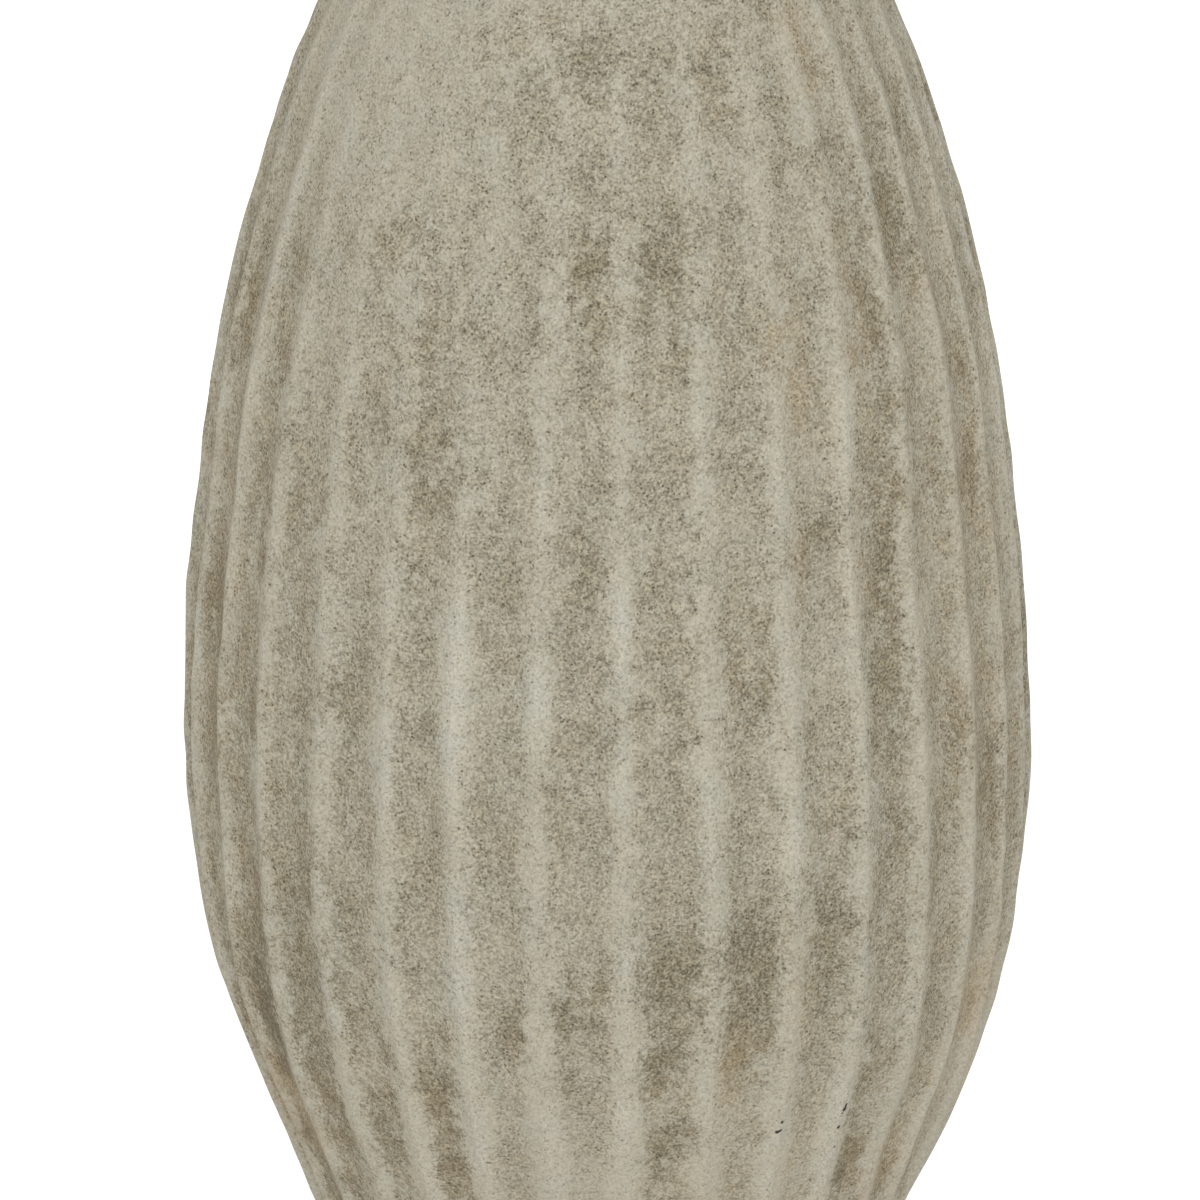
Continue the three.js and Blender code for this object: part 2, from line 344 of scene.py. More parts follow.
def spaced(first, last, pitch):
    """Even steps of about a pitch, with both ends."""
    return np.linspace(first, last, max(2, round(abs(last - first) / pitch) + 1))


print("one row has", len(wall_row(BELLY_HEIGHT).points), "points")

# %% [markdown]
# ## Rows into a piece
# A section is a closed loop of rows: up the outside, over the joint, down the inside. Blender's Screw
# modifier could spin an outline round the axis, but a spin can't follow flutes that wander. So the mesh is
# made from the rows themselves, with one quad between two rows and two columns, and takes the place of its
# node in the solid model.

# %% Rows into a piece
PIECES = {}
SEAM_ANGLE = math.radians(60)  # an edge sharper than this is the rim of a joint and isn't smoothed over


def add_mark(mesh, name, values):
    """Stores a number at each point of a mesh, for its finish to read."""
    mesh.attributes.new(name, "FLOAT", "POINT").data.foreach_set("value", values.ravel().astype(np.float32))


def add_piece(name, node, slot, rows, closed=True):
    """Joins rows into a mesh that runs up its outer side and down its inner one, in the place of a node."""
    points = np.stack([row.points for row in rows])
    corner = np.arange(points.shape[0] * points.shape[1]).reshape(points.shape[:2])
    beside = np.roll(corner, -1, axis=1)
    quads = np.stack([corner, beside, np.roll(beside, -1, axis=0), np.roll(corner, -1, axis=0)], axis=-1)
    joints = np.array([row.joint for row in rows])
    smooth = ~(joints | np.roll(joints, -1))
    if not closed:
        quads, smooth = quads[:-1], smooth[:-1]
    mesh = bpy.data.meshes.new(name)
    mesh.from_pydata((points.reshape(-1, 3) * MM).tolist(), [], quads.reshape(-1, 4).tolist())
    mesh.polygons.foreach_set("use_smooth", np.repeat(smooth, points.shape[1]))
    marks = {
        "from_arris": np.stack([np.resize(FROM_ARRIS, len(row.points)) for row in rows]),
        "fluted": np.stack([np.broadcast_to(row.fluted, len(row.points)) for row in rows]),
        "inside": np.stack([np.broadcast_to(row.inside, len(row.points)) for row in rows]),
    }
    for mark, values in marks.items():
        add_mark(mesh, mark, values)
    mesh.set_sharp_from_angle(angle=SEAM_ANGLE)
    piece = bpy.data.objects.new(name, mesh)
    bpy.context.scene.collection.objects.link(piece)
    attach(piece, "root")
    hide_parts(node)
    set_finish(piece, slot)
    PIECES[name] = piece
    print(f"{name}: {len(mesh.vertices)} points, {len(mesh.polygons)} faces")
    return piece


# %% [markdown]
# ## The thrown sections
# The bowl, the upper wall, the shoulder and the neck differ only in where they start and end. Each could
# have code of its own, but then a change to the wall would have to be made four times. So one function
# makes them all. Outside, the rows are close enough for the smallest lumps. Inside, only the mouth shows
# anything, so the rows there lie further apart.

# %% The thrown sections
OUTER_PITCH = 1.6
INNER_PITCH = 3.8


def add_wall_section(name, node, bottom, top):
    rows = [wall_row(level) for level in spaced(bottom, top, OUTER_PITCH)]
    rows += tongue_rows(top)
    rows += [wall_row(level, 0.0) for level in spaced(top, bottom, INNER_PITCH)]
    rows += reversed(tongue_rows(bottom))
    add_piece(name, node, "weathered_clay", rows)


add_wall_section("fluted_bowl", "lower_wall", FLOOR_SEAM, BELLY_SEAM)
add_wall_section("fluted_wall", "upper_wall", BELLY_SEAM, SHOULDER_SEAM)
add_wall_section("plain_shoulder", "shoulder_ring", SHOULDER_SEAM, NECK_SEAM)
add_wall_section("drawn_neck", "neck", NECK_SEAM, LIP_SEAM)

# %% [markdown]
# ## The lip
# The rim is folded outwards over the top of the neck into a soft roll. A torus would sit on the neck like a
# tyre. Instead the roll's outline starts on the neck's own top row, goes round part of an ellipse, and
# comes back down the inside. A slow wave in its height is the trace of the fingers that folded it.

# %% The lip
LIP_RADIUS = 66.0
ROLL_CENTRE = NECK_TOP_RADIUS - 2.0
ROLL_ARC = (-60, 135)  # degrees, from under the roll over its top
ROLL_STEPS = 34
LIP_SINK = 0.7  # keeps the waves below the lip's full height
LIP_WAVES = ((2, 0.4, 0.6), (5, 0.2, 2.1), (13, 0.08, 0.0))  # count round the lip, depth and phase
ROLL_BARE, LIP_BARE = 0.5, 0.8  # how bare of wash the end of the roll is, and the wall under it
PAST_TOP = 1.6  # radians, where the roll starts to be bare
roll_half_height = (LIP_TOP - LIP_SEAM) / 2
roll_angles = np.radians(np.linspace(*ROLL_ARC, ROLL_STEPS))
lip_turn = turn_at(LIP_SEAM)
lip_wave = sum(depth * np.sin(count * lip_turn + phase) for count, depth, phase in LIP_WAVES)


def lip_row(radius, height, inside):
    risen = ease(height, LIP_SEAM, LIP_TOP)
    points = ring_points(lip_turn, radius, height - risen * (LIP_SINK + lip_wave))
    points[:, :2] *= (1 + (1 - inside) * lumps(points) / radius)[:, None]
    return Row(points, 0.0, inside, False)


lip_rows = [wall_row(LIP_SEAM)]
for angle in roll_angles:
    lip_rows.append(
        lip_row(
            ROLL_CENTRE + (LIP_RADIUS - ROLL_CENTRE) * math.cos(angle),
            LIP_SEAM + roll_half_height * (1 + math.sin(angle)),
            float(ease(angle, PAST_TOP, roll_angles[-1])) * ROLL_BARE,
        )
    )
for level in spaced(LIP_SEAM + roll_half_height * 1.5, LIP_SEAM, 2.0)[:-1]:
    lip_rows.append(lip_row(NECK_TOP_RADIUS - WALL, level, LIP_BARE))
lip_rows.append(wall_row(LIP_SEAM, 0.0))
lip_rows += reversed(tongue_rows(LIP_SEAM))
add_piece("rolled_lip", "lip_roll", "weathered_clay", lip_rows)

# %% [markdown]
# ## The floor and the foot
# The floor is a slab that the first section is thrown on. Its top keeps the spiral of the finger that
# opened the clay, and its underside the arcs of the wire that cut it from the wheel. The foot is a low
# ring, turned when the clay is stiff, so the tool leaves fine grooves round it and its edges are eased. A
# cylinder would be the quick way to either, but its faces would show none of this. So both are rows of
# points.

# %% The floor
SPIRAL_PITCH = 9.0
SPIRAL_DEPTH = 0.45
SPIRAL_START = 8.0  # from the middle
SPIRAL_STOP = (14.0, 10.0)  # in from the wall
WIRE_PITCH = 5.0
WIRE_DEPTH = 0.12
WIRE_CENTRE = (-90.0, 30.0)
WIRE_STOP = (36.0, 40.0)  # from the middle, inside the foot
UNDER_BARE = 0.6  # how bare of wash the underside is
floor_turn = turn_at(FLOOR_SEAM)
under_turn = turn_at(FOOT_SEAM)
floor_lining = float(inner_radius(FLOOR_SEAM))


def floor_top_row(radius):
    to_wall = floor_lining - np.array(SPIRAL_STOP)
    fade = ease(radius, 0, SPIRAL_START) * (1 - ease(radius, *to_wall))
    dip = SPIRAL_DEPTH * fade * np.sin(floor_turn - 2 * np.pi * radius / SPIRAL_PITCH)
    return Row(ring_points(floor_turn, radius, FLOOR_SEAM - SPIRAL_DEPTH + dip), 0.0, 1.0, False)


def floor_under_row(radius):
    points = ring_points(under_turn, radius, FOOT_SEAM)
    arcs = np.hypot(points[:, 0] - WIRE_CENTRE[0], points[:, 1] - WIRE_CENTRE[1])
    fade = 1 - ease(radius, *WIRE_STOP)
    points[:, 2] += WIRE_DEPTH * fade * (1 + np.sin(2 * np.pi * arcs / WIRE_PITCH))
    return Row(points, 0.0, UNDER_BARE, False)


floor_edge = float(outer_radius(FOOT_SEAM))
floor_rows = [floor_under_row(radius) for radius in spaced(0, floor_edge - 3, 2.0)]
floor_rows += [wall_row(level) for level in spaced(FOOT_SEAM, FLOOR_SEAM, OUTER_PITCH)]
floor_rows += tongue_rows(FLOOR_SEAM)
floor_rows += [wall_row(FLOOR_SEAM, 0.0)]
floor_rows += [floor_top_row(radius) for radius in spaced(floor_lining - 3, 0, 2.0)]
floor_slab = add_piece("floor_slab", "floor_disc", "weathered_clay", floor_rows, closed=False)


def close_poles(piece):
    """Joins the points of a row that has shrunk to the axis."""
    work = bmesh.new()
    work.from_mesh(piece.data)
    bmesh.ops.remove_doubles(work, verts=work.verts, dist=1e-6)
    work.to_mesh(piece.data)
    work.free()
    print(f"{piece.name}: {len(piece.data.vertices)} points after closing")


close_poles(floor_slab)

# %% The foot
FOOT_WIDTH = 17.0
FOOT_EASE = 2.0
FOOT_BULGE = 1.0
GROOVE_PITCH = 1.7
GROOVE_DEPTH = 0.1
GROOVE_ROWS = 0.55  # from one row to the next, to show the grooves
FOOT_CORNER, FOOT_CORNER_DROP = 0.6, 0.5  # left clear at the two upper corners
foot_outer = floor_edge
foot_inner = foot_outer - FOOT_WIDTH
quarter = np.radians(np.linspace(0, 90, 6))


def foot_row(radius, height, inside=0.0):
    return Row(ring_points(under_turn, radius, height), 0.0, inside, False)


eased_level = FELT_SEAM + FOOT_EASE
rest_radii = spaced(foot_inner + FOOT_EASE, foot_outer - FOOT_EASE, 3.0)
foot_rows = [foot_row(radius, FELT_SEAM, UNDER_BARE) for radius in rest_radii]
for angle in quarter[1:]:
    eased_radius = foot_outer - FOOT_EASE * (1 - math.sin(angle))
    level = eased_level - FOOT_EASE * math.cos(angle)
    foot_rows.append(foot_row(eased_radius, level, UNDER_BARE * math.cos(angle)))
for level in spaced(eased_level, FOOT_SEAM - FOOT_CORNER_DROP, GROOVE_ROWS)[1:]:
    up = (level - eased_level) / (FOOT_SEAM - eased_level)
    groove = GROOVE_DEPTH * math.sin(2 * math.pi * level / GROOVE_PITCH)
    foot_rows.append(foot_row(foot_outer + FOOT_BULGE * 4 * up * (1 - up) + groove, level))
top_radii = spaced(foot_outer - FOOT_CORNER, foot_inner + FOOT_CORNER, 4.0)
foot_rows += [foot_row(radius, FOOT_SEAM) for radius in top_radii]
inner_levels = spaced(FOOT_SEAM - FOOT_CORNER, eased_level, 2.0)
foot_rows += [foot_row(foot_inner, level, UNDER_BARE) for level in inner_levels]
for angle in quarter[1:-1]:
    eased_radius = foot_inner + FOOT_EASE * (1 - math.cos(angle))
    foot_rows.append(foot_row(eased_radius, eased_level - FOOT_EASE * math.sin(angle), UNDER_BARE))
add_piece("turned_foot", "foot_ring", "weathered_clay", foot_rows)

# %% [markdown]
# ## Coils over the seams
# Inside, a coil of soft clay is pressed over each seam with the thumb, so a row of dimples runs round it. A
# torus would float off a wall that isn't quite round. So the coil's back is the wall's own row, and its
# front is that row moved in by the thickness. On the floor the same coil fills the corner as a hollow
# fillet.

# %% Coils over the seams
COIL_HALF_HEIGHT = 8.0
COIL_THICKNESS = 4.0
THUMB_WIDTH = 21.0
THUMB_DEPTH = 0.3  # of the thickness
THUMB_WANDER = 0.3
THUMB_SLANT = 0.06
COIL_CLEAR = 0.05
COIL_STEPS = 11


def thumb_press(turn, radius):
    presses = round(2 * math.pi * radius / THUMB_WIDTH)
    return 1 - THUMB_DEPTH * np.cos(presses * turn / 2 + THUMB_WANDER * np.sin(3 * turn)) ** 2


def coil_row(level, thickness):
    row = wall_row(level, 0.0)
    distance = np.hypot(row.points[:, 0] - lean(level), row.points[:, 1])
    shrunk = (distance - COIL_CLEAR - thickness) / distance
    row.points[:, :2] *= shrunk[:, None]
    return row


def add_coil(name, node, seam):
    across = np.linspace(-1, 1, COIL_STEPS)
    rows = [coil_row(seam + COIL_HALF_HEIGHT * x, 0.0) for x in across]
    for x in across[-2:0:-1]:
        level = seam + COIL_HALF_HEIGHT * x
        press = thumb_press(turn_at(level) + THUMB_SLANT * x, float(inner_radius(level)))
        rows.append(coil_row(level, COIL_THICKNESS * (1 - x * x) * press))
    add_piece(name, node, "bare_clay", rows)


add_coil("belly_coil", "belly_seam_coil", BELLY_SEAM)
add_coil("shoulder_coil", "shoulder_seam_coil", SHOULDER_SEAM)
add_coil("neck_coil", "neck_seam_coil", NECK_SEAM)

# %% The coil on the floor
FLOOR_COIL_LEG = 10.0
FLOOR_COIL_SKIN = 0.4  # what is left of the coil at its thin edges
FILLET_SHARE, FILLET_LEAST = 0.9, 0.3
UNPRESSED, PRESSED = 1.15, 0.4
LEG_STEPS, FILLET_STEPS = 5, 8
corner_level = FLOOR_SEAM + COIL_CLEAR
press = thumb_press(floor_turn, floor_lining)
along_leg = np.linspace(0, 1, LEG_STEPS)
floor_coil_rows = [coil_row(corner_level, FLOOR_COIL_LEG * (1 - share)) for share in along_leg]
floor_coil_rows += [coil_row(corner_level + FLOOR_COIL_LEG * share, 0.0) for share in along_leg[1:]]
for share in np.linspace(1, 0, FILLET_STEPS)[1:-1]:
    level = corner_level + FLOOR_COIL_LEG * share
    hollow = FLOOR_COIL_LEG * (1 - math.sqrt(1 - (1 - share) ** 2)) * FILLET_SHARE + FILLET_LEAST
    floor_coil_rows.append(coil_row(level, hollow * (UNPRESSED - PRESSED * press) + FLOOR_COIL_SKIN))
add_piece("floor_coil", "floor_seam_coil", "bare_clay", floor_coil_rows)

# %% [markdown]
# ## Felt discs
# Four felt discs keep the foot from scratching a table. Felt is punched from a sheet, so its edge is
# straight but never clean: loose fibres stand out of it and it is a little crushed. A plain cylinder would
# look like rubber. So each disc is a stack of rows with a ragged rim.

# %% Felt discs
FELT_RADIUS = 7.0
FELT_COLUMNS = 72
FELT_CRUSH = 0.35  # how far the edge is crushed, inwards and upwards
FACE_RADII = (0.0, 3.0, 6.0)
EDGE_TUCK, EDGE_RAGGED = 0.05, 0.04
RIM_TUCK, RIM_RAGGED = 0.1, 0.09
RIM_STEPS = 5
felt_turn = np.linspace(0, 2 * np.pi, FELT_COLUMNS, endpoint=False)


def felt_row(centre, radius, height, ragged):
    points = ring_points(felt_turn, radius + ragged * hand.normal(size=FELT_COLUMNS), height)
    points[:, :2] += centre
    return Row(points, 0.0, 0.0, False)


for number in range(1, 5):
    low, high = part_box(f"felt_disc_{number}")
    centre = np.array([low.x + high.x, low.y + high.y]) / 2 / MM
    felt_rows = [felt_row(centre, radius, 0.0, 0.0) for radius in FACE_RADII]
    felt_rows.append(felt_row(centre, FELT_RADIUS - FELT_CRUSH, EDGE_TUCK, EDGE_RAGGED))
    for level in np.linspace(FELT_CRUSH, FELT_SEAM - FELT_CRUSH, RIM_STEPS):
        felt_rows.append(felt_row(centre, FELT_RADIUS - RIM_TUCK, level, RIM_RAGGED))
    felt_rows.append(felt_row(centre, FELT_RADIUS - FELT_CRUSH, FELT_SEAM - EDGE_TUCK, EDGE_RAGGED))
    felt_rows += [felt_row(centre, radius, FELT_SEAM, 0.0) for radius in reversed(FACE_RADII)]
    close_poles(add_piece(f"felt_{number}", f"felt_disc_{number}", "felt", felt_rows, closed=False))

# %% [markdown]
# ## Patches
# Smoke and handling leave patches: dark ones settle in the channels, pale ones where the ridges are rubbed,
# and a warm bloom where the fire caught the clay. Some of them are painted light and shade instead: the
# dark ones low on the left are painted shade, and the pale ones at the far right are painted light, as if
# the light came a little from the right. A noise texture alone scatters them anywhere. The ones that can be
# seen are listed as an angle, a height, two half sizes and a strength, and seeded ones go round the back.

# %% Patches
# Painted shade: the dark patches low on the left, from -50° to -74° and below 170 mm, darken that side as
# if the light came a little from the right. The rest are smoke and handling.
DARK_PATCHES = [
    (10, 154, 9, 12, 1.0), (8, 128, 6, 8, 1.2), (20, 157, 9, 13, 0.9), (20, 146, 9, 10, 0.9),
    (32, 168, 8, 18, 0.7), (-12, 143, 5, 8, 1.0), (-4, 151, 8, 8, 1.0), (-26, 111, 7, 10, 1.2),
    (-25, 86, 6, 10, 1.3), (10, 101, 7, 9, 1.0), (10, 119, 6, 9, 0.5), (-60, 127, 8, 28, 2.8),
    (-50, 126, 9, 18, 0.9), (-38, 144, 7, 12, 0.5), (12, 261, 4, 5, 0.6), (-66, 124, 9, 26, 0.8),
    (-56, 112, 40, 48, 1.0), (-74, 112, 12, 26, 0.9), (-62, 82, 8, 20, 2.0), (-40, 122, 9, 12, 0.9),
    (-60, 268, 4, 46, 0.4), (-70, 240, 8, 12, 1.7), (-48, 244, 7, 12, 0.4), (-40, 233, 9, 10, 0.8),
    (-45, 230, 10, 8, 0.4), (-45, 290, 7, 10, 0.4), (-28, 268, 7, 10, 0.7), (-26, 304, 8, 12, 1.1),
    (-24, 338, 8, 9, 1.1), (-35, 361, 9, 8, 1.2), (-35, 335, 10, 8, 0.6), (-25, 228, 5, 18, 0.4),
    (-78, 326, 12, 22, 1.1), (-3, 358, 7, 16, 0.7), (8, 361, 9, 14, 0.9), (-6, 346, 9, 10, 0.9),
    (12, 344, 8, 9, 0.6), (-4, 276, 6, 14, 0.4), (6, 246, 8, 14, 0.6), (20, 237, 8, 10, 0.8),
    (22, 212, 8, 7, 0.7), (35, 206, 8, 6, 0.4), (43, 256, 6, 38, 0.8), (31, 284, 6, 12, 0.4),
    (49, 300, 10, 10, 0.6), (47, 341, 8, 9, 1.2), (46, 377, 9, 13, 0.6), (58, 359, 8, 14, 1.5),
    (66, 192, 9, 15, 0.9), (67, 282, 9, 10, 0.8), (55, 194, 8, 9, 0.5), (41, 82, 8, 10, 1.8),
    (42, 192, 7, 8, 0.4), (45, 231, 6, 9, 1.0), (46, 280, 6, 14, 1.0), (22, 262, 4, 6, 0.6),
    (18, 129, 7, 8, 1.0), (-40, 165, 8, 12, 0.4), (50, 138, 6, 14, 0.6), (2, 365, 5, 10, 1.0),
    (46, 318, 12, 22, 0.5), (57, 214, 8, 12, 0.6), (69, 380, 8, 12, 1.0), (60, 396, 8, 10, 0.5),
    (66, 125, 7, 10, 0.6), (52, 78, 8, 10, 1.2), (-56, 266, 7, 16, 0.8), (-58, 215, 7, 12, 0.8),
    (10, 404, 26, 18, 0.5), (-13, 411, 22, 14, 0.8), (-3, 402, 6, 24, 0.5), (9, 404, 6, 26, 0.5),
    (-15, 404, 6, 22, 0.45), (21, 398, 6, 24, 0.4), (33, 392, 7, 20, 0.5), (32, 420, 8, 10, 0.5),
    (-12, 132, 7, 12, 0.5), (40, 116, 6, 16, 1.0), (10, 225, 8, 8, 0.5), (-57, 311, 7, 9, 0.7),
    (-63, 344, 6, 10, 0.6), (45, 404, 9, 12, 0.5), (30, 258, 4, 6, 0.5), (68, 314, 7, 10, 0.6),
    (-70, 200, 12, 16, 0.7), (-50, 98, 14, 20, 1.1), (-32, 322, 10, 12, 0.4), (33, 200, 10, 16, 0.4),
]
# Painted light: the pale patches at the far right, from 66° to 77°, lighten that edge as if the light came
# a little from the right. The rest are rubbed ridges.
PALE_PATCHES = [
    (-21, 244, 5, 28, 1.0), (-9, 240, 5, 13, 0.8), (2, 264, 4, 15, 0.8), (2, 222, 4, 8, 0.5),
    (-9, 190, 4, 12, 0.4), (2, 112, 6, 14, 0.9), (14, 124, 5, 12, 0.5), (14, 202, 4, 16, 0.5),
    (25, 196, 5, 9, 0.7), (35, 204, 10, 12, 0.3), (36, 100, 6, 22, 0.9), (38, 312, 7, 12, 0.8),
    (40, 408, 5, 14, 0.9), (-32, 264, 4, 10, 0.5), (-32, 202, 4, 14, 0.5), (32, 250, 10, 14, 0.8),
    (30, 92, 10, 14, 0.8), (38, 268, 8, 14, 0.8), (-20, 160, 4, 26, 0.7), (-21, 94, 7, 14, 0.7),
    (-38, 284, 8, 10, 0.5), (-30, 363, 7, 8, 0.9), (17, 388, 7, 10, 0.4), (-50, 414, 46, 34, 1.1),
    (48, 244, 4, 24, 0.4), (77, 300, 14, 24, 1.0), (77, 370, 14, 34, 1.0), (72, 210, 14, 12, 0.9),
    (66, 112, 12, 24, 0.9), (-77, 226, 8, 12, 0.7), (-68, 356, 9, 34, 0.9), (-50, 183, 7, 10, 0.5),
    (59, 164, 10, 14, 0.7), (10, 176, 9, 7, 0.6), (32, 370, 10, 14, 0.5), (18, 289, 7, 10, 0.9),
    (30, 300, 12, 16, 0.6), (-49, 338, 7, 8, 0.7), (-18, 162, 12, 28, 0.8), (-4, 100, 12, 20, 0.8),
    (3, 164, 5, 8, 0.5), (34, 224, 8, 10, 0.5), (22, 191, 8, 8, 0.8), (3, 420, 7, 9, 0.6),
    (27, 140, 8, 14, 0.4), (58, 150, 7, 10, 0.5), (-66, 163, 9, 10, 1.0), (45, 136, 9, 10, 0.8),
    (-77, 190, 8, 10, 0.5), (-48, 306, 8, 8, 0.6), (-30, 215, 9, 16, 0.5), (-55, 190, 10, 10, 0.5),
    (60, 234, 9, 8, 0.9), (58, 90, 10, 12, 0.6), (13, 318, 7, 8, 0.5), (-17, 352, 8, 10, 0.6),
    (-9, 296, 7, 10, 0.6), (8, 198, 16, 6, 0.5), (1, 140, 7, 30, 0.5), (-50, 86, 8, 10, 0.3),
    (52, 395, 5, 20, 0.5), (63, 375, 4, 20, 0.5), (-67, 290, 5, 30, 0.8), (33, 400, 6, 8, 0.6),
    (6, 405, 7, 8, 0.5), (-63, 256, 5, 8, 0.7), (18, 226, 6, 7, 0.6), (55, 342, 7, 7, 0.7),
    (-29, 88, 5, 10, 0.8), (-18, 100, 5, 14, 0.7), (-39, 101, 6, 8, 0.4), (-53, 116, 5, 8, 0.3),
    (-41, 133, 5, 6, 0.6), (73, 236, 10, 16, 0.6), (72, 168, 10, 14, 0.6),
]
WARM_PATCHES = [
    (44, 408, 8, 16, 0.8), (42, 336, 6, 26, 0.8), (29, 328, 7, 24, 0.8), (28, 276, 4, 15, 0.7),
    (38, 270, 9, 14, 0.5), (21, 254, 6, 14, 0.4), (18, 126, 9, 12, 0.7), (27, 146, 6, 22, 0.6),
    (70, 126, 14, 18, 1.4), (-64, 92, 16, 16, 1.2), (35, 312, 8, 10, 0.4), (49, 345, 7, 10, 0.6),
    (-66, 350, 7, 14, 0.4), (-54, 255, 8, 16, 0.4), (52, 80, 14, 14, 0.7), (30, 84, 10, 10, 0.5),
    (5, 325, 8, 12, 0.4), (68, 160, 8, 10, 0.5), (77, 266, 8, 18, 0.6), (77, 345, 8, 30, 0.5),
    (77, 190, 8, 20, 0.6), (-68, 240, 40, 150, 0.45), (64, 250, 40, 150, 0.5),
]
BACK_ANGLES, BACK_HEIGHTS, BACK_STRENGTHS = (82, 278), (60, 430), (0.4, 1.0)
PATCH_FADE = 0.7


def patches_behind(count, half_widths, half_lengths):
    ranges = np.array([BACK_ANGLES, BACK_HEIGHTS, half_widths, half_lengths, BACK_STRENGTHS])
    return hand.uniform(ranges[:, 0], ranges[:, 1], (count, len(ranges))).tolist()


DARK_PATCHES += patches_behind(46, (5, 9), (8, 30))
PALE_PATCHES += patches_behind(24, (4, 9), (8, 24))
WARM_PATCHES += patches_behind(12, (4, 14), (8, 24))


def patch_field(points, patches):
    """How strong the patches are at each point. Where some overlap, the strongest counts."""
    turn = np.arctan2(points[:, 0], -points[:, 1])
    radius = np.hypot(points[:, 0], points[:, 1])
    field = np.zeros(len(points))
    for angle, height, half_width, half_length, strength in patches:
        away = np.remainder(turn - math.radians(angle) + np.pi, 2 * np.pi) - np.pi
        reach = (away * radius / half_width) ** 2 + ((points[:, 2] - height) / half_length) ** 2
        field = np.maximum(field, strength * np.exp(-PATCH_FADE * reach))
    return field


for piece in PIECES.values():
    points = np.empty(len(piece.data.vertices) * 3)
    piece.data.vertices.foreach_get("co", points)
    points = points.reshape(-1, 3) / MM
    for mark, patches in (("dark", DARK_PATCHES), ("pale", PALE_PATCHES), ("warm", WARM_PATCHES)):
        add_mark(piece.data, mark, patch_field(points, patches))
print(len(DARK_PATCHES), "dark,", len(PALE_PATCHES), "pale and", len(WARM_PATCHES), "warm patches")

# %% [markdown]
# ## Pinholes
# Air that was trapped in the clay bursts in the fire and leaves pinholes, here two small groups low on the
# front. They are a millimetre or so wide, as fine as the mesh itself. Cutting them would need a far finer
# one, so the finish makes them: each is a point on the skin, and what lies within its radius is sunk by a
# bump and painted near black, as painted shade for the inside of the hole.

# %% Pinholes
PINHOLES = [
    (26.8, 108.1, 0.6), (26.2, 104.9, 0.6), (26.5, 105.1, 0.5), (26.8, 105.3, 0.5),
    (37.9, 108.8, 0.7), (37.8, 107.5, 1.0), (37.5, 106.2, 0.4), (37.6, 101.4, 0.7), (37.6, 94.8, 0.4),
    (141, 150, 0.7), (143, 147, 0.6), (214, 262, 0.8), (255, 118, 0.7),
]  # angle, height and radius


def on_skin(angle, level):
    """The point of the outer wall at an angle and a height, in metres."""
    points = wall_row(level).points
    turn = np.degrees(np.arctan2(points[:, 0], -points[:, 1]))
    return [MM * float(np.interp(angle, turn, axis, period=360)) for axis in points.T]


print(len(PINHOLES), "pinholes, the first at", on_skin(*PINHOLES[0][:2]))

# %% [markdown]
# ## Sums in a finish
# A finish is a graph of nodes, and a long graph is hard to read as a list of links. So one small class
# wraps a socket: a sum on it adds a Math node, and the finish reads like a formula. Colours go through Mix
# and Vector Math nodes instead, because a Math node would turn them grey.

# %% Sums in a finish
class Amount:
    """What a node gives out. Sums on it add Math nodes to its finish."""

    def __init__(self, finish, socket):
        self.finish = finish
        self.socket = socket

    def __add__(self, other):
        return self.finish.math("ADD", self, other)

    def __sub__(self, other):
        return self.finish.math("SUBTRACT", self, other)

    def __rsub__(self, other):
        return self.finish.math("SUBTRACT", other, self)

    def __mul__(self, other):
        return self.finish.math("MULTIPLY", self, other)

    def eased(self, low, high):
        """0 below low, 1 above high, and a smooth step between."""
        return self.finish.node(
            "ShaderNodeMapRange",
            {"interpolation_type": "SMOOTHSTEP"},
            {"Value": self, "From Min": low, "From Max": high},
        )

    __radd__ = __add__
    __rmul__ = __mul__


print("sums:", sorted(name for name in vars(Amount) if name.endswith(("add__", "sub__", "mul__"))))


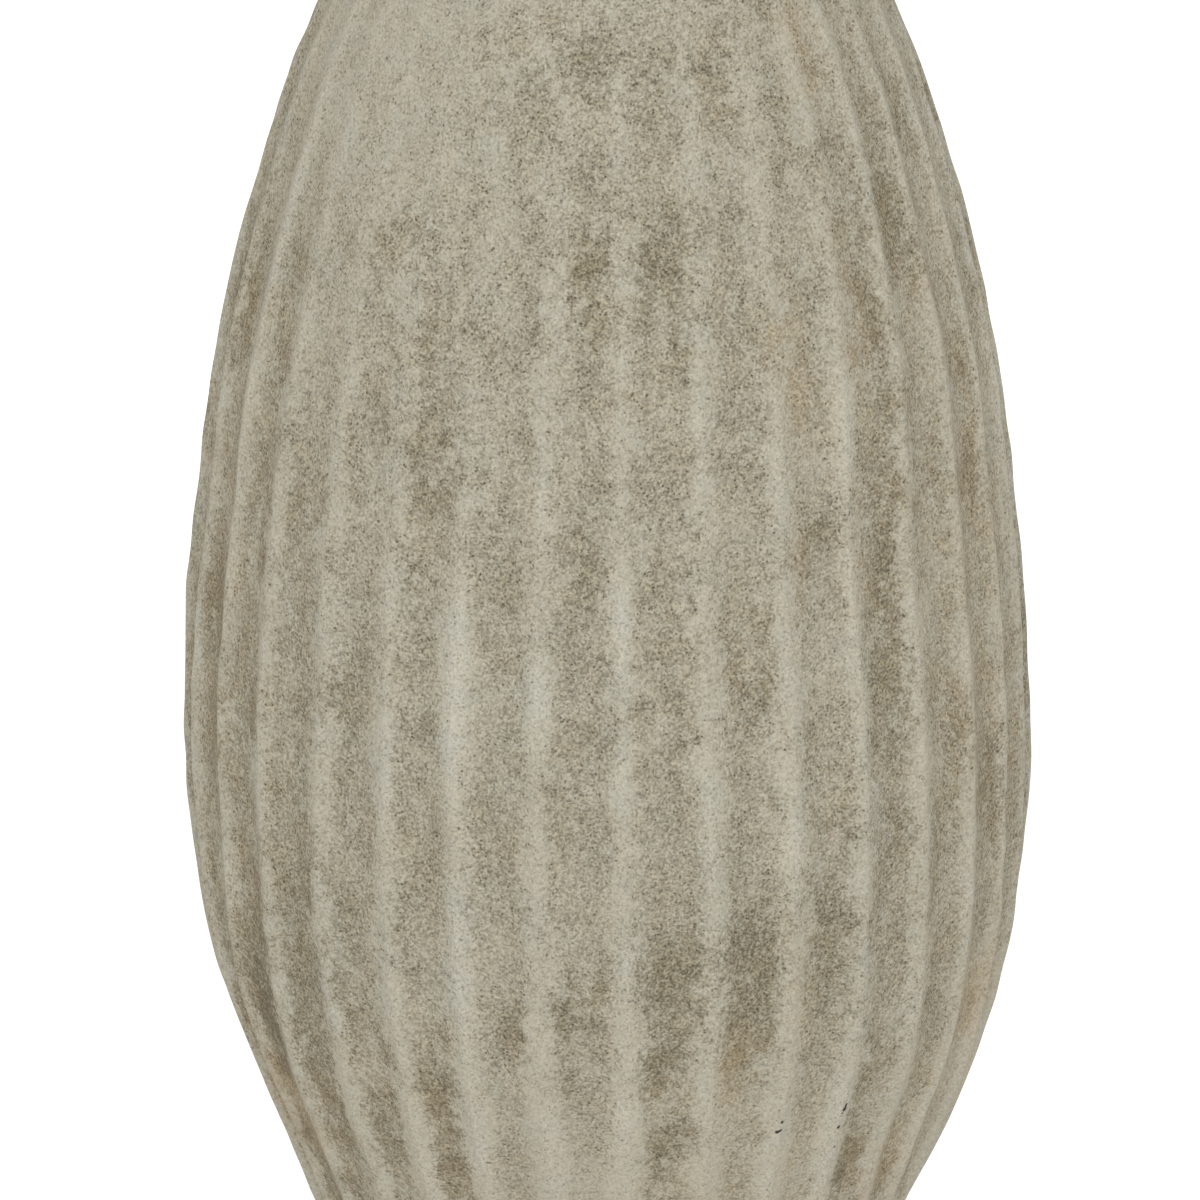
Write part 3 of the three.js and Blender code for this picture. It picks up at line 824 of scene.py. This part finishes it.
# %% Nodes by name
class Finish:
    """The nodes of a material or of the world, added by name."""

    def __init__(self, owner):
        self.owner = owner
        owner.use_nodes = True
        self.tree = owner.node_tree
        self.tree.nodes.clear()

    def node(self, kind, settings, sockets, out=0):
        """Adds a node with its settings, fills or links its sockets, and gives out one of its outputs."""
        node = self.tree.nodes.new(kind)
        for name, value in settings.items():
            setattr(node, name, value)
        for key, value in sockets.items():
            if isinstance(key, int):
                socket = node.inputs[key]
            else:
                socket = next(s for s in node.inputs if s.name == key and s.enabled)
            if isinstance(value, Amount):
                self.tree.links.new(value.socket, socket)
            else:
                socket.default_value = value
        if out is None:
            return None
        outputs = [s for s in node.outputs if s.enabled]
        return Amount(self, node.outputs[out] if isinstance(out, str) else outputs[out])

    def math(self, operation, first, second):
        return self.node("ShaderNodeMath", {"operation": operation}, {0: first, 1: second})

    def mark(self, name):
        return self.node("ShaderNodeAttribute", {"attribute_name": name}, {}, "Fac")

    def noise(self, place, scale, detail, roughness):
        sockets = {"Vector": place, "Scale": scale, "Detail": detail, "Roughness": roughness}
        return self.node("ShaderNodeTexNoise", {"noise_dimensions": "3D"}, sockets)

    def grains(self, place, scale, out):
        """Grains packed side by side: the Distance from a grain's middle, or a tone of its own as Color."""
        return self.node("ShaderNodeTexVoronoi", {"feature": "F1"}, {"Vector": place, "Scale": scale}, out)

    def mix(self, share, first, second):
        sockets = {"Factor": share, "A": first, "B": second}
        return self.node("ShaderNodeMix", {"data_type": "RGBA"}, sockets)

    def seen(self):
        """1 for a ray that shows the ground to a viewer: straight, mirrored or through glass."""
        kinds = ("Is Camera Ray", "Is Glossy Ray", "Is Transmission Ray")
        straight, mirrored, through = (self.node("ShaderNodeLightPath", {}, {}, kind) for kind in kinds)
        return self.math("MAXIMUM", self.math("MAXIMUM", straight, mirrored), through)

    def cover(self, shader, output="ShaderNodeOutputMaterial"):
        self.node(output, {}, {"Surface": shader}, None)
        print(f"{self.owner.name}: {len(self.tree.nodes)} nodes")


def paint(*colour):
    """A colour with its alpha, as a socket takes it."""
    return (*colour, 1.0)


WHITE = paint(1.0, 1.0, 1.0)
print("white:", WHITE)

# %% [markdown]
# ## Weathered clay
# The clay is a pale greyish beige, full of sand, with dark grog and small pits in it. A thin dark wash has
# settled in the channels and been wiped from the ridges, so a ridge shows smooth pale clay and a channel is
# peppered. One number, the wash, says how much is left at a place. It tints the clay, and it decides how
# many pits show. Noise with a threshold does for the soft grog, but it would draw the sand and the pits as
# worms. So these are Voronoi cells, grains with a tone of their own. A slow bloom, cool here and warm
# there, goes over the outside.

# %% Weathered clay: where the wash lies
CLOUDS, TUFTS, CLUMPS, GRITS = 30, 115, 360, 1300  # to a metre
UPRIGHT = (1.0, 1.0, 0.6)  # stretches the larger ones up the wall
LOW_DOWN = (0.085, 0.16)  # metres up, between which the wall stops being low
clay = Finish(bpy.data.materials.new("weathered_clay"))
place = clay.node("ShaderNodeTexCoord", {}, {}, "Object")
drawn_up = clay.node("ShaderNodeVectorMath", {"operation": "MULTIPLY"}, {0: place, 1: UPRIGHT})
cloud = clay.noise(drawn_up, CLOUDS, 2.0, 0.5) - 0.5
tuft = clay.noise(drawn_up, TUFTS, 2.0, 0.55) - 0.5
clump = clay.noise(place, CLUMPS, 2.0, 0.6) - 0.5
grit = clay.noise(place, GRITS, 1.0, 0.5)

torn = 1 + 2.2 * tuft + 1.6 * clump
# The dark patches: smoke stains, and painted shade low on the left. Where they are strongest, mostly in the
# channels low on the left, they also carry soot and painted shade.
smoke_and_painted_shade = clay.mark("dark") * torn
soot_and_painted_shade = smoke_and_painted_shade.eased(1.2, 2.8)
# The pale patches: rubbed ridges, and painted light at the far right.
pale = (clay.mark("pale") * torn).eased(0.0, 1.1)
warm = (clay.mark("warm") * torn).eased(0.0, 1.1)
low = 1 - clay.node("ShaderNodeSeparateXYZ", {}, {0: place}, "Z").eased(*LOW_DOWN)
fluted = clay.mark("fluted")
frayed = clay.mark("from_arris") + 0.2 * cloud + 0.35 * tuft + 0.45 * clump - 0.12 * low
rubbed = fluted * (1 - frayed.eased(0.0, 0.62))
dark = smoke_and_painted_shade.eased(0.0, 1.3) * (1 - 0.4 * rubbed)
wash = 0.37 + 0.19 * fluted - 0.1 * low + 0.5 * cloud + 0.9 * tuft + 0.8 * clump
# The dark and pale patches go into the wash, so it also holds the painted shade low on the left and the
# painted light at the far right.
wash = wash + 0.54 * dark - 0.26 * pale - (0.38 + 0.2 * low) * rubbed
wash = wash.eased(-0.25, 1.25)
print("nodes for the wash:", len(clay.tree.nodes))

# %% Weathered clay: colours
PITS, SAND_GRAINS, BLOOMS = 1000, 1600, 75  # to a metre
RUBBED_GRAIN = paint(0.503, 0.474, 0.383)
RUBBED_GROG = paint(0.34, 0.314, 0.242)
WASHED_GRAIN = paint(0.315, 0.276, 0.188)
WASHED_GROG = paint(0.175, 0.149, 0.1)
PIT = paint(0.085, 0.072, 0.05)
CHALK = paint(0.58, 0.556, 0.478)
WARM_CLAY = paint(0.455, 0.345, 0.205)
BARE_CLAY = paint(0.42, 0.36, 0.265)
BARE_GROG = paint(0.25, 0.20, 0.135)
COOL_TINT = paint(0.986, 1.006, 1.03)
WARM_TINT = paint(1.014, 0.994, 0.97)

pale_grain = clay.mix(wash, RUBBED_GRAIN, WASHED_GRAIN)
# Rubbed pale patches go towards chalk, and at the far right this is painted light.
pale_grain = clay.mix(0.5 * pale * rubbed, pale_grain, CHALK)
dark_grain = clay.mix(wash, RUBBED_GROG, WASHED_GROG)
grog = (grit + 0.14 * wash).eased(0.5, 0.79)
body = clay.mix(grog, pale_grain, dark_grain)
body = clay.mix(0.32 * warm + 0.1 * low, body, WARM_CLAY)
# Painted shade and soot: the strongest dark patches go towards the pit colour, deepest in the channels low
# on the left.
body = clay.mix(0.4 * soot_and_painted_shade, body, PIT)
gritty = wash.eased(0.05, 0.65)
pitted = 0.1 + 0.25 * gritty - 0.05 * fluted + 0.7 * clump + 0.5 * tuft - clay.grains(place, PITS, "Color")
pit = (1 - clay.grains(place, PITS, "Distance").eased(0.15, 0.5)) * pitted.eased(-0.1, 0.1)
body = clay.mix(0.8 * pit, body, PIT)
bloom = clay.noise(place, BLOOMS, 4.0, 0.62).eased(0.3, 0.7)
tint = clay.mix(bloom, COOL_TINT, WARM_TINT)
body = clay.node("ShaderNodeVectorMath", {"operation": "MULTIPLY"}, {0: body, 1: tint})
lining = clay.mix(grog, BARE_CLAY, BARE_GROG)
skin = clay.mix(clay.mark("inside").eased(0.1, 0.9), body, lining)
sand = 1 + (0.33 + 0.42 * gritty) * (0.5 - clay.grains(place, SAND_GRAINS, "Color"))
skin = clay.node("ShaderNodeVectorMath", {"operation": "SCALE"}, {"Vector": skin, "Scale": sand})
print("nodes with the colours:", len(clay.tree.nodes))

# %% Weathered clay: pinholes
# Painted shade: the near black inside a pinhole.
PAINTED_HOLE_SHADE = paint(0.045, 0.04, 0.034)
HOLE_FLOOR, HOLE_RIM = 0.5, 1.2  # of a pinhole's radius


def in_pinhole(angle, level, radius):
    """1 in the middle of a pinhole, 0 outside it."""
    sockets = {0: place, 1: on_skin(angle, level)}
    away = clay.node("ShaderNodeVectorMath", {"operation": "DISTANCE"}, sockets, "Value")
    return 1 - away.eased(HOLE_FLOOR * radius * MM, HOLE_RIM * radius * MM)


hole = sum(in_pinhole(*pinhole) for pinhole in PINHOLES).eased(0.0, 1.0)
# Painted shade: the middle of each pinhole is painted near black, as the shade inside the hole.
skin = clay.mix(hole, skin, PAINTED_HOLE_SHADE)
print("nodes with the pinholes:", len(clay.tree.nodes))

# %% Weathered clay: surface
roughness = 0.93 + 0.06 * wash - 0.08 * rubbed
height = 0.8 * clump - 0.6 * grit - 2.0 * hole
bump = clay.node("ShaderNodeBump", {}, {"Strength": 0.35, "Distance": 0.0006, "Height": height})
sockets = {"Base Color": skin, "Roughness": roughness, "Specular IOR Level": 0.15, "Normal": bump}
clay.cover(clay.node("ShaderNodeBsdfPrincipled", {}, sockets))

# %% [markdown]
# ## Bare clay and felt
# The coils inside were never washed, so they keep the fired clay's own warm beige, with grog and the drag
# of the thumb in it. The wall's finish wouldn't do, because its wash follows flutes that a coil doesn't
# have. The felt is pressed wool: short fibres in every direction, paler at the tips. Strands of hair would
# be heavy for so small a disc, so fine noise and a bump stand for them.

# %% Bare clay
COIL_PALE = paint(0.47, 0.40, 0.295)
COIL_DARK = paint(0.36, 0.295, 0.205)
COIL_GROG = paint(0.16, 0.13, 0.09)
SMEARS, GROGS = 90, 900  # to a metre
coil_clay = Finish(bpy.data.materials.new("bare_clay"))
place = coil_clay.node("ShaderNodeTexCoord", {}, {}, "Object")
smear = coil_clay.noise(place, SMEARS, 3.0, 0.6)
grog = coil_clay.noise(place, GROGS, 2.0, 0.6)
tone = coil_clay.mix(smear.eased(0.3, 0.7), COIL_PALE, COIL_DARK)
tone = coil_clay.mix((grog + 0.1 * smear).eased(0.62, 0.78) * 0.7, tone, COIL_GROG)
roughness = 0.92 + 0.06 * smear
height = grog + 2 * smear
drag = coil_clay.node("ShaderNodeBump", {}, {"Strength": 0.4, "Distance": 0.0008, "Height": height})
sockets = {"Base Color": tone, "Roughness": roughness, "Specular IOR Level": 0.15, "Normal": drag}
coil_clay.cover(coil_clay.node("ShaderNodeBsdfPrincipled", {}, sockets))

# %% Felt
WOOL_ROOT = paint(0.045, 0.042, 0.036)
WOOL_TIP = paint(0.13, 0.12, 0.105)
WOOL_NAP = paint(0.09, 0.085, 0.075)
FIBRES, NAPS = 2600, 500  # to a metre
felt = Finish(bpy.data.materials.new("felt"))
place = felt.node("ShaderNodeTexCoord", {}, {}, "Object")
fibre = felt.noise(place, FIBRES, 3.0, 0.7)
nap = felt.noise(place, NAPS, 2.0, 0.5)
wool = felt.mix(fibre.eased(0.35, 0.7), WOOL_ROOT, WOOL_TIP)
wool = felt.mix(nap.eased(0.45, 0.7) * 0.4, wool, WOOL_NAP)
fuzz = felt.node("ShaderNodeBump", {}, {"Strength": 0.8, "Distance": 0.0005, "Height": fibre + nap})
sockets = {"Base Color": wool, "Roughness": 0.97 + 0.03 * nap, "Sheen Weight": 0.3, "Normal": fuzz}
felt.cover(felt.node("ShaderNodeBsdfPrincipled", {}, sockets))

# %% [markdown]
# ## Finishes on the pieces
# Each piece names in its slot what it is made of. A finish could be given to each by hand, but a loop over
# the slots can't leave one out.

# %% Finishes on the pieces
FINISH_OF_SLOT = {"weathered_clay": clay, "bare_clay": coil_clay, "felt": felt}
for piece in PIECES.values():
    piece.data.materials.append(FINISH_OF_SLOT[piece["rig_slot"]].owner)
print("finishes:", sorted(FINISH_OF_SLOT))

# %% [markdown]
# ## Floor
# The picture has an even white ground. More lamps would turn a grey floor white, but they would bleach the
# clay as well. So the floor is pale and keeps the vase's shadow, and only to a viewer's ray does it also
# glow a little, so that it reads as white paper.

# %% Floor
REACH = 30.0
PAPER_TONE, PAPER_GLOW = 0.86, 0.42
ground = bpy.data.meshes.new("ground")
corners = [(-REACH, -REACH, 0), (REACH, -REACH, 0), (REACH, REACH, 0), (-REACH, REACH, 0)]
ground.from_pydata(corners, [], [(0, 1, 2, 3)])
floor = bpy.data.objects.new("floor", ground)
bpy.context.scene.collection.objects.link(floor)

paper = Finish(bpy.data.materials.new("white_paper"))
matt = paper.node("ShaderNodeBsdfDiffuse", {}, {"Color": paint(PAPER_TONE, PAPER_TONE, PAPER_TONE)})
sockets = {"Color": WHITE, "Strength": PAPER_GLOW * paper.seen()}
glow = paper.node("ShaderNodeEmission", {}, sockets)
paper.cover(paper.node("ShaderNodeAddShader", {}, {0: matt, 1: glow}))
ground.materials.append(paper.owner)
print("floor reaches", REACH, "m")

# %% [markdown]
# ## Light
# The light in the picture is soft and comes from the front. The world lights the vase from all round, and
# one wide lamp in front and above adds the gentle fall from the middle of the vase to its sides. A small
# lamp would draw hard edges on the flutes. A weaker lamp behind does the same for the back, so that its
# flutes can be seen too.

# %% Light
WORLD_LIGHT = 0.72
LAMP_TARGET = Vector((0, 0, 0.22))
LAMP_WIDTH = 1.8
LAMP_AWAY, LAMP_UP = 2.8, 1.9
scene = bpy.context.scene
scene.view_settings.view_transform = "Standard"
studio = Finish(bpy.data.worlds.new("studio"))
sockets = {"Color": WHITE, "Strength": WORLD_LIGHT + (1 - WORLD_LIGHT) * studio.seen()}
studio.cover(studio.node("ShaderNodeBackground", {}, sockets), "ShaderNodeOutputWorld")
scene.world = studio.owner


def add_lamp(name, watts, location):
    lamp = bpy.data.objects.new(name, bpy.data.lights.new(name, "AREA"))
    lamp.data.shape = "DISK"
    lamp.data.size = LAMP_WIDTH
    lamp.data.energy = watts
    lamp.location = location
    lamp.rotation_euler = (LAMP_TARGET - lamp.location).to_track_quat("-Z", "Y").to_euler()
    lamp.visible_camera = False
    scene.collection.objects.link(lamp)
    print(f"{name}: {watts} W")


add_lamp("front_lamp", 34.0, (0.0, -LAMP_AWAY, LAMP_UP))
add_lamp("back_lamp", 20.0, (0.0, LAMP_AWAY, LAMP_UP))

# %% [markdown]
# ## Sizes
# The dressed vase should fill the same box as the solid model, but for the lumps of the hand.
